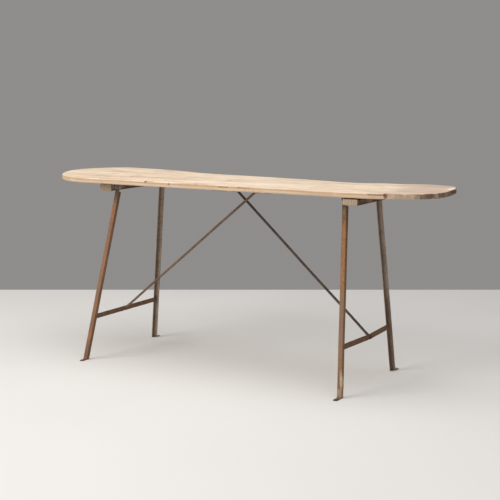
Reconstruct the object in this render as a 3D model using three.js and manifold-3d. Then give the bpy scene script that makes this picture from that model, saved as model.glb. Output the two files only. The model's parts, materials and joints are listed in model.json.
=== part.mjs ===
// Folding ironing table: a long softwood board, wide and round at one end and narrower at the other,
// on two angle-iron trestles. Each trestle folds inward on two bracket hinges, and an iron brace that
// turns on its crossbar hooks into a notched catch under the middle of the board.
// Millimetres, +Z up. The origin lies on the floor, under the middle of the board's length.
import * as THREE from 'three';
import { mergeVertices } from 'three/addons/utils/BufferGeometryUtils.js';
import Module from 'manifold-3d';

const wasm = await Module();
wasm.setup();

// Driving dimensions.
const BOARD = {
  top: 780,
  thickness: 20,
  arris: 2,
  leftTip: { x: -920, y: 45 },
  rightTip: { x: 920, y: 25 },
  frontLeft: { x: -632, y: -236 },
  frontRight: { x: 463, y: -226 },
  rearLeft: { x: -730, y: 280 },
  rearRight: { x: 430, y: 172 },
  leftRoundness: 1.7,
  rightRoundness: 2.7,
  arcSteps: 12,
};
const GAP = 0.3;
const HINGE_Z = 745;
const CLEAT = { width: 60, hingeToFace: 21, screwY: 90 };
const TRESTLES = {
  left: {
    outward: -1,
    hingeX: -496,
    footX: -617,
    topY: 161,
    footY: 256,
    barZ: 187,
    barBow: 0,
    cleatY: [-186, 192],
    cleatHeight: 34,
    bracketNose: 24,
    bracketRearEar: 60,
  },
  right: {
    outward: 1,
    hingeX: 556,
    footX: 590,
    topY: 149,
    footY: 246,
    barZ: 190,
    barBow: 11,
    cleatY: [-217, 166],
    cleatHeight: 28,
    bracketNose: 13,
    bracketRearEar: 44,
  },
};
const ANGLE_IRON = { width: 18, thickness: 3 };
const LEG_TOP = { radius: 8, neck: 18, flangeStop: 28, holeRadius: 3.6 };
const FOOT = { reach: 285, thickness: 3 };
const CROSSBAR = { height: 21, thickness: 4, endGap: 1.6, straightEnd: 22, neckRadius: 4.5, neckHalf: 6.5 };
const RIVET = { shank: 2.5, head: 5.5, dome: 3, inset: 8 };
const BRACKET = {
  plate: 3,
  cheekGap: 11,
  below: 12,
  above: 13,
  frontEar: 19,
  frontScrewInset: 5,
  rearScrewInset: 10,
};
const HINGE_BOLT = { shank: 3, head: 6.5, dome: 4, nutAcross: 6, nutHeight: 5, past: 2 };
const BRACE = {
  radius: 5.2,
  sideStep: 7.2,
  eyeInner: 5,
  eyeOuter: 10.5,
  eyeWidth: 11,
  prongRadius: 3,
  prongPast: 6,
};
const CATCH = {
  thickness: 3,
  depth: 28,
  foot: 22,
  seatZ: 742,
  slotHalf: 4.6,
  slotRun: 60,
  lip: 14,
  screwY: 13,
  screwInset: 10,
};
const CATCHES = {
  left: { seatX: 88, reach: 62, slotAngle: 25.2 },
  right: { seatX: -22, reach: 113, slotAngle: 20.6 },
};
const SCREW = { shank: 2, head: 4.2, dome: 1.8, hole: 2.4, pilotPast: 1.5 };
const SCREW_BITE = 13;

const UNDERSIDE = BOARD.top - BOARD.thickness;
const CLEAT_TOP = UNDERSIDE - GAP;
const ROUND_STEPS = 16;

// Materials.
const iron = (color) => new THREE.MeshStandardMaterial({ color, roughness: 0.8, metalness: 0.6 });
const wood = (color) => new THREE.MeshStandardMaterial({ color, roughness: 0.85, metalness: 0 });
const FINISH = {
  board: wood(0xdcc3a0),
  cleat: wood(0xb39a78),
  leg: iron(0x8a5e42),
  bar: iron(0x5e4636),
  brace: iron(0x6b5140),
  bracket: iron(0x6e6258),
  fastener: iron(0x51463d),
};

// Closed geometry to a manifold solid: shared corners merged, slivers with a repeated corner left out.
function solidOf(geometry) {
  geometry.deleteAttribute('normal');
  geometry.deleteAttribute('uv');
  const merged = mergeVertices(geometry, 1e-4);
  const index = merged.index.array;
  const kept = [];
  for (let i = 0; i < index.length; i += 3) {
    const [a, b, c] = [index[i], index[i + 1], index[i + 2]];
    if (a !== b && b !== c && c !== a) {
      kept.push(a, b, c);
    }
  }
  const mesh = new wasm.Mesh({
    numProp: 3,
    vertProperties: new Float32Array(merged.attributes.position.array),
    triVerts: new Uint32Array(kept),
  });
  return new wasm.Manifold(mesh);
}

function geometryOf(solid) {
  const mesh = solid.getMesh();
  const geometry = new THREE.BufferGeometry();
  geometry.setAttribute('position', new THREE.BufferAttribute(new Float32Array(mesh.vertProperties), 3));
  geometry.setIndex(new THREE.BufferAttribute(new Uint32Array(mesh.triVerts), 1));
  geometry.computeVertexNormals();
  return geometry;
}

const union = (solids) => solids.reduce((whole, solid) => whole.add(solid));
const cut = (solid, tools) => tools.reduce((rest, tool) => rest.subtract(tool), solid);

// Box between two opposite corners, given as ranges.
function boxSolid(xRange, yRange, zRange) {
  const ranges = [xRange, yRange, zRange].map(([a, b]) => [Math.min(a, b), Math.max(a, b)]);
  const sizes = ranges.map(([low, high]) => high - low);
  const centres = ranges.map(([low, high]) => (low + high) / 2);
  return solidOf(new THREE.BoxGeometry(...sizes).translate(...centres));
}

// Round bar from one point to another.
function rodSolid(start, end, radius, steps = ROUND_STEPS) {
  const from = new THREE.Vector3(...start);
  const to = new THREE.Vector3(...end);
  const direction = to.clone().sub(from);
  const geometry = new THREE.CylinderGeometry(radius, radius, direction.length(), steps);
  const upright = new THREE.Vector3(0, 1, 0);
  const turn = new THREE.Quaternion().setFromUnitVectors(upright, direction.clone().normalize());
  geometry.applyQuaternion(turn);
  geometry.translate(...from.add(to).multiplyScalar(0.5).toArray());
  return solidOf(geometry);
}

// Points on an arc, its last point left out on a full circle.
function arcPoints(x, z, radius, start = 0, end = 2 * Math.PI, steps = ROUND_STEPS) {
  const whole = Math.abs(end - start) >= 2 * Math.PI;
  const points = [];
  for (let step = 0; step < steps + (whole ? 0 : 1); step += 1) {
    const angle = start + ((end - start) * step) / steps;
    points.push(new THREE.Vector2(x + radius * Math.cos(angle), z + radius * Math.sin(angle)));
  }
  return points;
}

const corner = (x, z) => new THREE.Vector2(x, z);
const circleHole = (x, z, radius) => new THREE.Path(arcPoints(x, z, radius));

// Outline drawn in X and Z, given its thickness along Y.
function plateSolid(shape, yStart, yEnd) {
  const depth = Math.abs(yEnd - yStart);
  const geometry = new THREE.ExtrudeGeometry(shape, { depth, bevelEnabled: false });
  geometry.rotateX(Math.PI / 2);
  geometry.translate(0, Math.max(yStart, yEnd), 0);
  return solidOf(geometry);
}

// Domed head with its shank, lathed about its axis and laid from the head's seat towards the tip.
// A second head makes it a rivet.
function domedPin({ seat, towards, shank, length, head, dome, secondHead = false }) {
  const arc = (flip) => {
    const points = [];
    for (let step = 0; step <= 4; step += 1) {
      const angle = (Math.PI / 2) * (step / 4);
      points.push(new THREE.Vector2(head * Math.cos(angle), flip * dome * Math.sin(angle)));
    }
    points[4].x = 0;
    return points;
  };
  const profile = [...arc(-1).reverse(), new THREE.Vector2(shank, 0)];
  if (secondHead) {
    profile.push(new THREE.Vector2(shank, length));
    profile.push(...arc(1).map((point) => point.add(new THREE.Vector2(0, length))));
  } else {
    profile.push(new THREE.Vector2(shank, length - shank));
    profile.push(new THREE.Vector2(0, length));
  }
  const geometry = new THREE.LatheGeometry(profile, 12);
  const direction = new THREE.Vector3(...towards).normalize();
  geometry.applyQuaternion(new THREE.Quaternion().setFromUnitVectors(new THREE.Vector3(0, 1, 0), direction));
  geometry.translate(...seat);
  return solidOf(geometry);
}

// Hole for a screw or pin, from a little outside its seat to a little past its tip.
function boreFor({ seat, towards, radius, length, before = 1 }) {
  const direction = new THREE.Vector3(...towards).normalize();
  const from = new THREE.Vector3(...seat).addScaledVector(direction, -before);
  const to = new THREE.Vector3(...seat).addScaledVector(direction, length);
  return rodSolid(from.toArray(), to.toArray(), radius, 12);
}

const table = new THREE.Group();

function addPiece(name, solid, finish) {
  const mesh = new THREE.Mesh(geometryOf(solid), finish.clone());
  mesh.name = name;
  table.add(mesh);
}

// Adds a screw and returns the hole that it needs in whatever it passes through.
function addScrew(name, seat, towards, length) {
  addPiece(name, domedPin({ seat, towards, length, ...SCREW }), FINISH.fastener);
  return boreFor({ seat, towards, radius: SCREW.hole, length: length + SCREW.pilotPast });
}

// A trestle's plane leans outward and its legs splay, so its pieces are drawn upright from the floor
// and then sheared into place.
function trestleLean(trestle) {
  return (trestle.hingeX - trestle.footX) / HINGE_Z;
}

function leanInto(solid, trestle, side) {
  const leanX = trestleLean(trestle);
  const leanY = (side * (trestle.topY - trestle.footY)) / HINGE_Z;
  const place = [1, 0, 0, 0, 0, 1, 0, 0, leanX, leanY, 1, 0, trestle.footX, side * trestle.footY, 0, 1];
  return solid.transform(place);
}

function legYAt(trestle, z) {
  return trestle.footY + ((trestle.topY - trestle.footY) * z) / HINGE_Z;
}

function legXAt(trestle, z) {
  return trestle.footX + trestleLean(trestle) * z;
}

// Leg of angle iron. Its outer web faces front or rear and carries the hinge hole, its flange lies
// against the crossbar, and its foot is the web bent outward on the floor. A rear leg is a front leg
// turned half round.
function legSolid(trestle, side) {
  const half = ANGLE_IRON.thickness / 2;
  const flangeX = CROSSBAR.thickness / 2 + GAP;
  const heelX = flangeX + ANGLE_IRON.thickness;
  const tipX = heelX - ANGLE_IRON.width;
  const shape = new THREE.Shape([
    corner(tipX, 0),
    corner(heelX, 0),
    corner(heelX, HINGE_Z - LEG_TOP.flangeStop),
    ...arcPoints(0, HINGE_Z, LEG_TOP.radius, -Math.PI / 4, Math.PI),
    corner(-LEG_TOP.radius, HINGE_Z - LEG_TOP.neck / 2),
    corner(tipX, HINGE_Z - LEG_TOP.neck),
  ]);
  shape.holes.push(circleHole(0, HINGE_Z, LEG_TOP.holeRadius));
  const web = plateSolid(shape, -half, half);
  const flangeEnd = ANGLE_IRON.width - half;
  const flange = boxSolid([flangeX, heelX], [-half, flangeEnd], [0, HINGE_Z - LEG_TOP.flangeStop]);
  const toeY = -(FOOT.reach - trestle.footY);
  const toe = boxSolid([tipX, heelX], [toeY, half], [0, FOOT.thickness]);
  const rivetHole = boreFor({
    seat: [flangeX, RIVET.inset + half, trestle.barZ],
    towards: [1, 0, 0],
    radius: RIVET.shank + GAP,
    length: 2 * ANGLE_IRON.thickness,
    before: 2,
  });
  const upright = union([web, flange, toe]).subtract(rivetHole);
  const turned = side > 0 ? upright.rotate([0, 0, 180]) : upright;
  return leanInto(turned, trestle, side);
}

// Flat crossbar between the legs, forged round in the middle where the brace's eye turns on it. The
// right one is bowed outward there.
function crossbarSolid(trestle, neckY) {
  const z = trestle.barZ;
  const endY = legYAt(trestle, z) - ANGLE_IRON.thickness / 2 - CROSSBAR.endGap;
  const half = CROSSBAR.thickness / 2;
  const bow = trestle.outward * trestle.barBow;
  const low = neckY - CROSSBAR.neckHalf;
  const high = neckY + CROSSBAR.neckHalf;
  const bendY = endY - CROSSBAR.straightEnd;
  const middleLine = [[0, -endY], [0, -bendY], [bow, low], [bow, high], [0, bendY], [0, endY]];
  const nearEdge = middleLine.map(([x, y]) => corner(x + half, y));
  const farEdge = middleLine.map(([x, y]) => corner(x - half, y)).reverse();
  const plan = new THREE.Shape([...nearEdge, ...farEdge]);
  const geometry = new THREE.ExtrudeGeometry(plan, { depth: CROSSBAR.height, bevelEnabled: false });
  geometry.translate(0, 0, -CROSSBAR.height / 2);
  const rivetHoles = [-1, 1].map((side) => {
    const y = side * (legYAt(trestle, z) - RIVET.inset - ANGLE_IRON.thickness / 2);
    return rodSolid([-CROSSBAR.height, y, 0], [CROSSBAR.height, y, 0], RIVET.shank + GAP, 12);
  });
  const neckX = [bow - CROSSBAR.height, bow + CROSSBAR.height];
  const neckGap = boxSolid(neckX, [low, high], [-CROSSBAR.height, CROSSBAR.height]);
  const neck = rodSolid([bow, low - 1, 0], [bow, high + 1, 0], CROSSBAR.neckRadius, 12);
  const bar = cut(solidOf(geometry), [neckGap, ...rivetHoles]);
  const lean = [1, 0, 0, 0, 0, 1, 0, 0, trestleLean(trestle), 0, 1, 0, legXAt(trestle, z), 0, z, 1];
  return bar.transform(lean).add(neck.translate([legXAt(trestle, z), 0, z]));
}

// Rivet through the crossbar and a leg's flange.
function crossbarRivet(trestle, side) {
  const z = trestle.barZ;
  const x = legXAt(trestle, z);
  const y = side * (legYAt(trestle, z) - RIVET.inset - ANGLE_IRON.thickness / 2);
  const flangeSide = side < 0 ? 1 : -1;
  const lean = Math.abs(trestleLean(trestle)) * RIVET.head;
  const grip = CROSSBAR.thickness + GAP + ANGLE_IRON.thickness + 2 * (GAP + lean);
  const seatX = x - flangeSide * (CROSSBAR.thickness / 2 + GAP + lean);
  const seat = [seatX, y, z];
  return domedPin({ seat, towards: [flangeSide, 0, 0], length: grip, secondHead: true, ...RIVET });
}

// Hinge bracket: a strap folded into two cheeks with an ear on each side, screwed to the cleat.
function bracketSolid(trestle, side) {
  const inward = -trestle.outward;
  const backX = trestle.hingeX - inward * (CLEAT.hingeToFace - GAP);
  const plateX = backX + inward * BRACKET.plate;
  const y = side * trestle.topY;
  const zRange = [HINGE_Z - BRACKET.below, HINGE_Z + BRACKET.above];
  const inner = BRACKET.cheekGap / 2;
  const outer = inner + BRACKET.plate;
  const cheek = (from, to) => {
    const noseX = trestle.hingeX + inward * trestle.bracketNose;
    const shape = new THREE.Shape([
      corner(backX, zRange[0]),
      corner(noseX - inward * BRACKET.below, zRange[0]),
      corner(noseX, HINGE_Z),
      corner(noseX, zRange[1]),
      corner(backX, zRange[1]),
    ]);
    shape.holes.push(circleHole(trestle.hingeX, HINGE_Z, HINGE_BOLT.shank + GAP));
    return plateSolid(shape, y + side * from, y + side * to);
  };
  const earsY = [y + side * BRACKET.frontEar, y - side * trestle.bracketRearEar];
  const ears = boxSolid([backX, plateX], earsY, zRange);
  return union([ears, cheek(inner, outer), cheek(-inner, -outer)]);
}

function bracketScrewSeats(trestle, side) {
  const inward = -trestle.outward;
  const seatX = trestle.hingeX - inward * (CLEAT.hingeToFace - BRACKET.plate - 2 * GAP);
  const y = side * trestle.topY;
  const z = HINGE_Z;
  return [
    [seatX, y + side * (BRACKET.frontEar - BRACKET.frontScrewInset), z],
    [seatX, y - side * (trestle.bracketRearEar - BRACKET.rearScrewInset), z],
  ];
}

// Hinge bolt through both cheeks, its head outside and its nut inside the trestle.
function hingeBoltSolid(trestle, side) {
  const cheekOut = BRACKET.cheekGap / 2 + BRACKET.plate + GAP;
  const seat = [trestle.hingeX, side * (trestle.topY + cheekOut), HINGE_Z];
  const length = 2 * cheekOut + HINGE_BOLT.nutHeight + HINGE_BOLT.past;
  return domedPin({ seat, towards: [0, -side, 0], length, ...HINGE_BOLT });
}

function hingeNutSolid(trestle, side) {
  const near = side * (trestle.topY - BRACKET.cheekGap / 2 - BRACKET.plate - GAP);
  const far = near - side * HINGE_BOLT.nutHeight;
  const along = (y) => [trestle.hingeX, y, HINGE_Z];
  const nut = rodSolid(along(near), along(far), HINGE_BOLT.nutAcross, 6);
  return nut.subtract(rodSolid(along(near + side), along(far - side), HINGE_BOLT.shank + GAP));
}

// Brace: a round rod with an eye on the crossbar's neck and a prong across its upper end.
function bracePlan(key) {
  const trestle = TRESTLES[key];
  const bow = trestle.outward * trestle.barBow;
  return {
    y: trestle.outward * BRACE.sideStep,
    pivotX: legXAt(trestle, trestle.barZ) + bow,
    pivotZ: trestle.barZ,
    tipX: CATCHES[key].seatX,
    tipZ: CATCH.seatZ,
  };
}

function braceSolid(key) {
  const { y, pivotX, pivotZ, tipX, tipZ } = bracePlan(key);
  const run = new THREE.Vector2(tipX - pivotX, tipZ - pivotZ).normalize();
  const start = [pivotX + run.x * (BRACE.eyeInner + 2), y, pivotZ + run.y * (BRACE.eyeInner + 2)];
  const rod = rodSolid(start, [tipX + run.x * 2, y, tipZ + run.y * 2], BRACE.radius, 12);
  const ring = new THREE.Shape(arcPoints(pivotX, pivotZ, BRACE.eyeOuter));
  ring.holes.push(circleHole(pivotX, pivotZ, BRACE.eyeInner));
  const eye = plateSolid(ring, y - BRACE.eyeWidth / 2, y + BRACE.eyeWidth / 2);
  const toCatch = -Math.sign(y);
  const prong = rodSolid([tipX, y, tipZ], [tipX, toCatch * BRACE.prongPast, tipZ], BRACE.prongRadius, 12);
  return union([eye, rod, prong]);
}

// Catch: a notched blade on a foot screwed under the board. The notch slants along the way the prong
// leaves it.
function catchSolid(key) {
  const { seatX, reach, slotAngle } = CATCHES[key];
  const away = -TRESTLES[key].outward;
  const top = UNDERSIDE - GAP;
  const half = CATCH.thickness / 2;
  const xRange = [seatX - away * CATCH.lip, seatX + away * reach];
  const blade = boxSolid(xRange, [-half, half], [top - CATCH.depth, top]);
  const foot = boxSolid(xRange, [-half, CATCH.foot], [top - CATCH.thickness, top]);
  const angle = THREE.MathUtils.degToRad(slotAngle);
  const run = [away * Math.cos(angle) * CATCH.slotRun, -Math.sin(angle) * CATCH.slotRun];
  const sideways = [away * Math.sin(angle) * CATCH.slotHalf, Math.cos(angle) * CATCH.slotHalf];
  const slot = new THREE.Shape([
    corner(seatX + sideways[0], CATCH.seatZ + sideways[1]),
    corner(seatX + sideways[0] + run[0], CATCH.seatZ + sideways[1] + run[1]),
    corner(seatX - sideways[0] + run[0], CATCH.seatZ - sideways[1] + run[1]),
    corner(seatX - sideways[0], CATCH.seatZ - sideways[1]),
  ]);
  const channel = plateSolid(slot, -half - 1, half + 1);
  const seat = rodSolid([seatX, -half - 1, CATCH.seatZ], [seatX, half + 1, CATCH.seatZ], CATCH.slotHalf);
  return cut(union([blade, foot]), [channel, seat]);
}

// Board outline: straight front and rear edges joined by two rounded ends of superellipse form.
function endCurve(from, tip, roundness, steps) {
  const points = [];
  for (let step = 0; step <= steps; step += 1) {
    const angle = (Math.PI / 2) * (step / steps);
    const along = Math.sin(angle) ** (2 / roundness);
    const across = step === steps ? 0 : Math.cos(angle) ** (2 / roundness);
    points.push(new THREE.Vector2(from.x + (tip.x - from.x) * along, tip.y + (from.y - tip.y) * across));
  }
  return points;
}

function boardOutline() {
  const { leftTip, rightTip, leftRoundness, rightRoundness, arcSteps } = BOARD;
  const frontLeft = endCurve(BOARD.frontLeft, leftTip, leftRoundness, arcSteps).reverse();
  const frontRight = endCurve(BOARD.frontRight, rightTip, rightRoundness, arcSteps);
  const rearRight = endCurve(BOARD.rearRight, rightTip, rightRoundness, arcSteps).reverse();
  const rearLeft = endCurve(BOARD.rearLeft, leftTip, leftRoundness, arcSteps);
  const outline = [...frontLeft, ...frontRight, ...rearRight.slice(1), ...rearLeft];
  return new THREE.Shape(outline.slice(0, -1));
}

function boardSolid(bores) {
  const geometry = new THREE.ExtrudeGeometry(boardOutline(), {
    depth: BOARD.thickness - 2 * BOARD.arris,
    bevelEnabled: true,
    bevelThickness: BOARD.arris,
    bevelSize: BOARD.arris,
    bevelOffset: -BOARD.arris,
    bevelSegments: 1,
  });
  geometry.translate(0, 0, UNDERSIDE + BOARD.arris);
  return cut(solidOf(geometry), bores);
}

// Build: fastenings first, because the wood is bored for them.
const boardBores = [];

for (const [key, trestle] of Object.entries(TRESTLES)) {
  const inward = -trestle.outward;
  const faceX = trestle.hingeX - inward * CLEAT.hingeToFace;
  const farX = faceX - inward * CLEAT.width;
  const cleatBottom = CLEAT_TOP - trestle.cleatHeight;
  const cleatBores = [];
  for (const [place, side] of [['front', -1], ['rear', 1]]) {
    const label = `${key}_${place}`;
    addPiece(`${label}_leg`, legSolid(trestle, side), FINISH.leg);
    addPiece(`${label}_crossbar_rivet`, crossbarRivet(trestle, side), FINISH.fastener);
    addPiece(`${label}_hinge_bolt`, hingeBoltSolid(trestle, side), FINISH.fastener);
    addPiece(`${label}_hinge_nut`, hingeNutSolid(trestle, side), FINISH.fastener);
    const bracketBores = bracketScrewSeats(trestle, side).map((seat, number) => {
      const name = `${label}_bracket_screw_${number + 1}`;
      return addScrew(name, seat, [-inward, 0, 0], SCREW_BITE + BRACKET.plate);
    });
    addPiece(`${label}_hinge_bracket`, cut(bracketSolid(trestle, side), bracketBores), FINISH.bracket);
    const cleatSeat = [(faceX + farX) / 2, side * CLEAT.screwY, cleatBottom - GAP];
    const bore = addScrew(`${label}_cleat_screw`, cleatSeat, [0, 0, 1], trestle.cleatHeight + SCREW_BITE);
    cleatBores.push(...bracketBores, bore);
    boardBores.push(bore);
  }
  const cleat = boxSolid([farX, faceX], trestle.cleatY, [cleatBottom, CLEAT_TOP]);
  addPiece(`${key}_cleat`, cut(cleat, cleatBores), FINISH.cleat);
  const brace = bracePlan(key);
  addPiece(`${key}_crossbar`, crossbarSolid(trestle, brace.y), FINISH.bar);
  addPiece(`${key}_brace`, braceSolid(key), FINISH.brace);
  const { seatX, reach } = CATCHES[key];
  const catchBores = [-CATCH.lip / 2, reach - CATCH.screwInset].map((along, number) => {
    const seat = [seatX + inward * along, CATCH.screwY, UNDERSIDE - CATCH.thickness - 2 * GAP];
    return addScrew(`${key}_catch_screw_${number + 1}`, seat, [0, 0, 1], CATCH.thickness + SCREW_BITE);
  });
  boardBores.push(...catchBores);
  addPiece(`${key}_catch`, cut(catchSolid(key), catchBores), FINISH.bracket);
}
addPiece('board', boardSolid(boardBores), FINISH.board);

export default table;
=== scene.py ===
"""Looks of a folding ironing table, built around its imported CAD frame.

A worn softwood board lies on two cleats over trestles of rusty angle iron, braced by two rods.
Lengths are in metres. Places come from the frame's nodes and joints.
"""
import json
import math
import random

import bmesh
import bpy
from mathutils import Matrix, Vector, noise

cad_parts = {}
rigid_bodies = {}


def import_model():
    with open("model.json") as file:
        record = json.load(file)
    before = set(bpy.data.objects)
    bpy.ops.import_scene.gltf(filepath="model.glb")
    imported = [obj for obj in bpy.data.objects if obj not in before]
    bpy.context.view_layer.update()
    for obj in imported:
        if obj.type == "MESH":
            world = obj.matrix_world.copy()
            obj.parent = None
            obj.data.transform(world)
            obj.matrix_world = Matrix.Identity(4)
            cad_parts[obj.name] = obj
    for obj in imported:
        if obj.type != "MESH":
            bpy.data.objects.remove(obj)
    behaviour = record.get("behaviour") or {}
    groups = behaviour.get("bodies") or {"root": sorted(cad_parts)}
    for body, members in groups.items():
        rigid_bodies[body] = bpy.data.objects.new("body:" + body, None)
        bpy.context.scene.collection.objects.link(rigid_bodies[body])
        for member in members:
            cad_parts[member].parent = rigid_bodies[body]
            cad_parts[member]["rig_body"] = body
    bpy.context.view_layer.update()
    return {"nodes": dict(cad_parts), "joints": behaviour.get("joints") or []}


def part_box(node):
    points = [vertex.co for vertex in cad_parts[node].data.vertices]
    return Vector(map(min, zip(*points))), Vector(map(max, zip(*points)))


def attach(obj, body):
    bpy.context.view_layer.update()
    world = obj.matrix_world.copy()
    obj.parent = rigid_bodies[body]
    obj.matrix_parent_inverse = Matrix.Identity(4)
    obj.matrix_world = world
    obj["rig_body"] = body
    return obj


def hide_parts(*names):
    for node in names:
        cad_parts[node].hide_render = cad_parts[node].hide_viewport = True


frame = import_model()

MM = 0.001
SCENE = bpy.context.scene
JOINT_PLACES = {joint["name"]: joint["pos_m"] for joint in frame["joints"]}
SIDES = {"front": -1, "rear": 1}
OUTWARD = {"left": -1, "right": 1}

# Camera and stage.
CAMERA_PLACE = Vector((2.4567, -4.0834, 1.2144))
CAMERA_AZIMUTH = math.radians(30.51)
CAMERA_ELEVATION = math.radians(8.64)
CAMERA_LENS = 83.66
FLOOR_FAR_EDGE = 6.49
FLOOR_HALF_WIDTH = 14.0
FLOOR_DEPTH = 18.0
WHITE = (1.0, 1.0, 1.0)
WARM_WHITE = (1.0, 0.985, 0.96)
BACKDROP_GREY = (0.275, 0.268, 0.262)


# -------- materials

class Finish:
    """A material's node tree, with short calls for the nodes used here."""

    def __init__(self, name, roughness, specular=0.3, metallic=0.0):
        self.material = bpy.data.materials.new(name)
        self.material.use_nodes = True
        self.tree = self.material.node_tree
        self.shader = self.tree.nodes["Principled BSDF"]
        self.shader.inputs["Roughness"].default_value = roughness
        self.shader.inputs["Specular IOR Level"].default_value = specular
        self.shader.inputs["Metallic"].default_value = metallic
        coordinates = self.tree.nodes.new("ShaderNodeTexCoord")
        self.place = coordinates.outputs["Object"]
        self.facing = coordinates.outputs["Normal"]
        self.colour = None

    def add(self, kind, inputs, **settings):
        node = self.tree.nodes.new(kind)
        for key, value in settings.items():
            setattr(node, key, value)
        for socket, value in inputs.items():
            if isinstance(value, bpy.types.NodeSocket):
                self.tree.links.new(value, node.inputs[socket])
            else:
                node.inputs[socket].default_value = value
        return node

    def math(self, operation, first, second=0.0):
        return self.add("ShaderNodeMath", {0: first, 1: second}, operation=operation).outputs[0]

    def times(self, first, second):
        return self.math("MULTIPLY", first, second)

    def plus(self, first, second):
        return self.math("ADD", first, second)

    def absolute(self, value):
        return self.math("ABSOLUTE", value)

    def vector(self, operation, first, second=(0, 0, 0)):
        return self.add("ShaderNodeVectorMath", {0: first, 1: second}, operation=operation).outputs[0]

    def axes(self, vector):
        return self.add("ShaderNodeSeparateXYZ", {0: vector}).outputs

    def mapped(self, scale, shift=(0, 0, 0), turn=(0, 0, 0)):
        inputs = {"Vector": self.place, "Location": shift, "Rotation": turn, "Scale": scale}
        return self.add("ShaderNodeMapping", inputs).outputs[0]

    def noise(self, scale, detail=3.0, roughness=0.5, vector=None, distortion=0.0):
        inputs = {
            "Vector": vector or self.place,
            "Scale": scale,
            "Detail": detail,
            "Roughness": roughness,
            "Distortion": distortion,
        }
        return self.add("ShaderNodeTexNoise", inputs).outputs[0]

    def grain(self, scale, detail=3.0, roughness=0.6, shift=(0, 0, 0)):
        """Noise drawn out along the axis with the lowest scale."""
        return self.noise(1.0, detail, roughness, self.mapped(scale, shift=shift))

    def waves(self, vector, scale, distortion, detail_scale, **settings):
        inputs = {
            "Vector": vector,
            "Scale": scale,
            "Distortion": distortion,
            "Detail": 2.0,
            "Detail Scale": detail_scale,
        }
        return self.add("ShaderNodeTexWave", inputs, **settings).outputs["Fac"]

    def between(self, value, low, high):
        """Spreads a value from 0 to 1 evenly over low to high."""
        inputs = {"Value": value, "To Min": low, "To Max": high}
        return self.add("ShaderNodeMapRange", inputs).outputs[0]

    def rise(self, value, low, high):
        """0 below low, 1 above high, smooth between; falls when low is above high."""
        inputs = {"Value": value, "From Min": low, "From Max": high}
        return self.add("ShaderNodeMapRange", inputs, interpolation_type="SMOOTHSTEP").outputs[0]

    def mix(self, factor, first, second, blend="MIX"):
        inputs = {0: factor, 6: opaque(first), 7: opaque(second)}
        return self.add("ShaderNodeMix", inputs, data_type="RGBA", blend_type=blend).outputs[2]

    def cover(self, where, strength, tone):
        """Lays a tone over the colour so far where a mask is 1, at a strength."""
        self.colour = self.mix(self.times(where, strength), self.colour, tone)

    def ramp(self, factor, *stops):
        node = self.add("ShaderNodeValToRGB", {0: factor})
        elements = node.color_ramp.elements
        while len(elements) < len(stops):
            elements.new(0.5)
        for element, (position, colour) in zip(elements, stops):
            element.position = position
            element.color = opaque(colour)
        return node.outputs[0]

    def spot(self, centre, size, ragged=0.25, scale=60.0):
        """1 inside an ellipsoid with a ragged rim, 0 outside it."""
        offset = self.vector("SUBTRACT", self.place, centre)
        scaled = self.vector("DIVIDE", offset, size)
        reach = self.add("ShaderNodeVectorMath", {0: scaled}, operation="LENGTH").outputs["Value"]
        wander = self.times(self.noise(scale, 2.0), 2 * ragged)
        return self.rise(self.plus(reach, wander), 1.0 + ragged, 0.55 + ragged)

    def bump(self, height, strength, distance, below=None):
        inputs = {"Height": height, "Strength": strength, "Distance": distance}
        if below is not None:
            inputs["Normal"] = below
        return self.add("ShaderNodeBump", inputs).outputs[0]

    def finish(self, normal=None, roughness=None):
        self.tree.links.new(self.colour, self.shader.inputs["Base Color"])
        if normal is not None:
            self.tree.links.new(normal, self.shader.inputs["Normal"])
        if roughness is not None:
            self.tree.links.new(roughness, self.shader.inputs["Roughness"])
        return self.material


def opaque(colour):
    if isinstance(colour, bpy.types.NodeSocket):
        return colour
    return (*colour, 1.0)


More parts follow.
